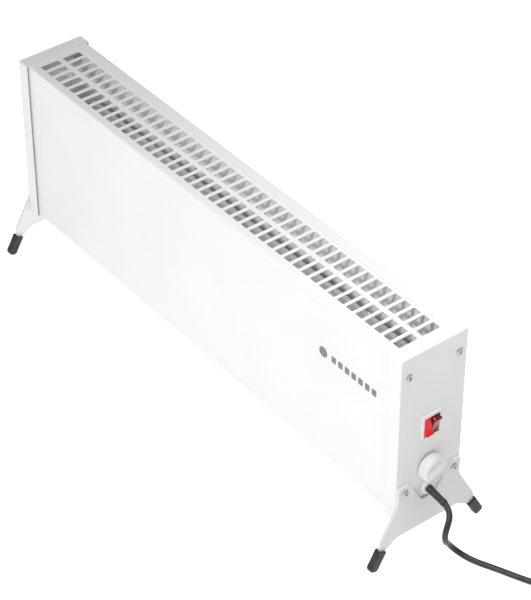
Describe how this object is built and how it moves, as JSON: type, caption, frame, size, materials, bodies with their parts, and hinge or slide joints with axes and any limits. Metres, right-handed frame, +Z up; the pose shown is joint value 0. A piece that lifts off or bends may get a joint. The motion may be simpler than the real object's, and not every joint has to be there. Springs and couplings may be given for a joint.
{
  "type": "convector heater",
  "caption": "Free-standing electric panel convector with slotted top, end-mounted rocker switches and thermostat knob, and splayed feet with rubber tips.",
  "frame": {"origin": "on the floor below the middle of the heater, measured without its lead", "axes": "+X along the casing towards the controls, -Y the front, +Z up"},
  "size_m": [0.8937, 0.2459, 0.277],
  "materials": {
    "white_enamel": "fine satin powder coat",
    "foot_enamel": "satin powder coat",
    "plated_screw": "zinc plated",
    "badge_print": "screen printed",
    "tip_rubber": "matt moulded",
    "white_plastic": "satin",
    "knob_plastic": "satin",
    "red_key": "translucent red, gloss",
    "bright_steel": "bright",
    "galvanised": "galvanised, satin",
    "brass": "bright",
    "copper": "drawn copper",
    "nickel": "nickel plated",
    "lead_pvc": "satin PVC",
    "tie_strap": "hook-and-loop strap",
    "plug_plastic": "fine texture",
    "block_plastic": "satin",
    "wire_insulation": "silicone",
    "ceramic": "steatite ceramic",
    "element_aluminium": "extruded, natural"
  },
  "bodies": {
    "casing": {"cable_gland": "white_plastic", "cap_screws": "plated_screw", "capillary_tube": "copper", "ceramic_bushes": "ceramic", "cord_tie": "tie_strap", "divider_plate": "galvanised", "earth_stud": "brass", "element_bracket_left": "galvanised", "element_bracket_right": "galvanised", "end_cap_left": "white_enamel", "end_cap_right": "white_enamel", "foot_plate_left": "foot_enamel", "foot_plate_right": "foot_enamel", "foot_screws": "plated_screw", "foot_tip_front_left": "tip_rubber", "foot_tip_front_right": "tip_rubber", "foot_tip_rear_left": "tip_rubber", "foot_tip_rear_right": "tip_rubber", "front_badge": "badge_print", "front_shell": "white_enamel", "gland_nut": "white_plastic", "heat_shield": "galvanised", "heating_profile_lower": "element_aluminium", "heating_profile_upper": "element_aluminium", "heating_rod_lower": "bright_steel", "heating_rod_upper": "bright_steel", "inner_cable": "lead_pvc", "intake_grille": "white_enamel", "internal_wires": "wire_insulation", "plug_body": "plug_plastic", "plug_earth_clips": "nickel", "plug_pins": "nickel", "power_cord_coil": "lead_pvc", "power_cord_lead": "lead_pvc", "power_cord_tail": "lead_pvc", "rear_panel": "white_enamel", "rear_panel_screws": "plated_screw", "rocker_pivot_pin": "bright_steel", "sensor_bulb": "copper", "shield_spacers": "bright_steel", "strain_relief": "lead_pvc", "switch_housing": "white_plastic", "switch_terminals": "brass", "terminal_block": "block_plastic", "terminal_screws": "brass", "thermal_cutout": "ceramic", "thermostat_body": "galvanised", "thermostat_nut": "bright_steel"},
    "thermostat_dial": {"thermostat_knob": "knob_plastic", "thermostat_shaft": "bright_steel"},
    "front_rocker": {"rocker_key_front": "red_key"},
    "rear_rocker": {"rocker_key_rear": "red_key"}
  },
  "joints": [
    {"name": "thermostat_turn", "type": "hinge", "parent": "casing", "child": "thermostat_dial", "pos_m": [0.34425, 0, 0.1118], "axis": [-1, 0, 0], "range_deg": [-202, 68]},
    {"name": "front_rocker_press", "type": "hinge", "parent": "casing", "child": "front_rocker", "pos_m": [0.34185, 0, 0.1686], "axis": [0, 1, 0], "range_deg": [0, 32]},
    {"name": "rear_rocker_press", "type": "hinge", "parent": "casing", "child": "rear_rocker", "pos_m": [0.34185, 0, 0.1686], "axis": [0, 1, 0], "range_deg": [-32, 0]}
  ]
}
